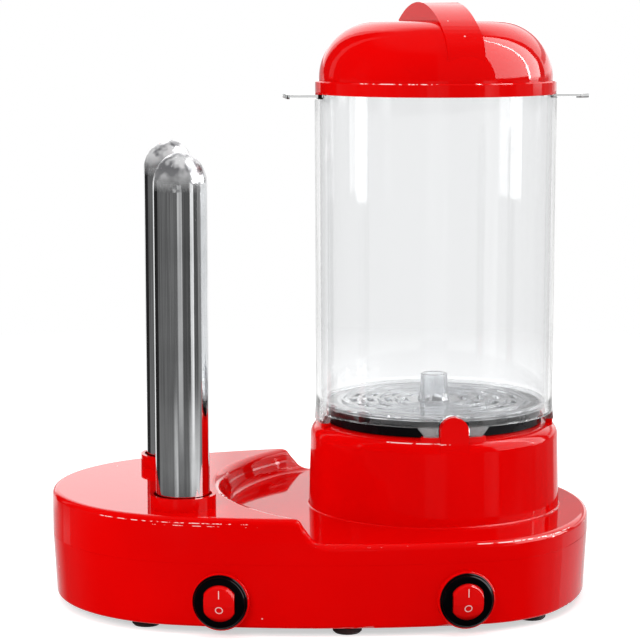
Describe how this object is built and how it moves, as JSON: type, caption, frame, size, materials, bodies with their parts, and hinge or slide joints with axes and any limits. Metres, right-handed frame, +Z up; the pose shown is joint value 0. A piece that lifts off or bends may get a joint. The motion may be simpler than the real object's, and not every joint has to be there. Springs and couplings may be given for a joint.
{
  "type": "hot dog toaster",
  "caption": "Countertop hot dog maker: glossy red base, clear steaming cylinder with domed lid over a slotted tray and water pan, and polished upright bun spikes, with rocker switches.",
  "frame": {"origin": "under the middle of the base, on the surface that the feet stand on", "axes": "+Z up, front with the rocker switches towards -Y, steamer at +X, bun spikes at -X"},
  "size_m": [0.2508, 0.1848, 0.276],
  "materials": {
    "red_gloss_plastic": "glossy moulded red plastic",
    "clear_plastic": "clear polycarbonate, polished",
    "polished_steel": "mirror-polished stainless steel",
    "black_plastic": "black moulded plastic, half gloss",
    "rocker_red": "red moulded plastic with white marks",
    "cover_plastic": "fine-textured black plastic",
    "rubber": "matt rubber",
    "silicone": "satin silicone",
    "pan_coating": "black non-stick coating",
    "zinc_steel": "zinc-plated steel",
    "heater_sheath": "annealed heater sheath",
    "ceramic": "unglazed ceramic",
    "terminal_brass": "tinned brass",
    "block_plastic": "natural nylon"
  },
  "bodies": {
    "base": {"upper_housing": "red_gloss_plastic", "lower_body": "red_gloss_plastic", "bottom_cover": "cover_plastic", "feet": "rubber", "cover_screws": "zinc_steel", "cord_gland": "black_plastic", "terminal_block": "block_plastic", "spike_front": "polished_steel", "spike_rear": "polished_steel", "spike_core_front": "ceramic", "spike_core_rear": "ceramic", "spike_bracket": "zinc_steel", "bracket_screws": "zinc_steel", "switch_body_left": "black_plastic", "switch_body_right": "black_plastic", "switch_terminals": "terminal_brass", "heating_pan": "pan_coating", "pan_gasket": "silicone", "pan_heater": "heater_sheath", "heat_shield": "zinc_steel", "pan_nuts": "zinc_steel", "thermostat": "heater_sheath", "thermal_fuse": "heater_sheath"},
    "cylinder": {"clear_cylinder": "clear_plastic"},
    "lid": {"lid": "red_gloss_plastic"},
    "tray": {"steam_tray": "clear_plastic"},
    "left_rocker": {"rocker_left": "rocker_red"},
    "right_rocker": {"rocker_right": "rocker_red"}
  },
  "joints": [
    {"name": "cylinder_lift", "type": "slide", "parent": "base", "child": "cylinder", "axis": [0, 0, 1], "range_m": [0, 0.16]},
    {"name": "lid_lift", "type": "slide", "parent": "cylinder", "child": "lid", "axis": [0, 0, 1], "range_m": [0, 0.08]},
    {"name": "tray_lift", "type": "slide", "parent": "base", "child": "tray", "axis": [0, 0, 1], "range_m": [0, 0.11]},
    {"name": "left_rocker_tilt", "type": "hinge", "parent": "base", "child": "left_rocker", "pos_m": [-0.0529, -0.07591, 0.016], "axis": [-0.9701, 0.2425, 0], "range_deg": [0, 20]},
    {"name": "right_rocker_tilt", "type": "hinge", "parent": "base", "child": "right_rocker", "pos_m": [0.05398, -0.08565, 0.016], "axis": [-0.998, -0.0632, 0], "range_deg": [0, 20]}
  ]
}
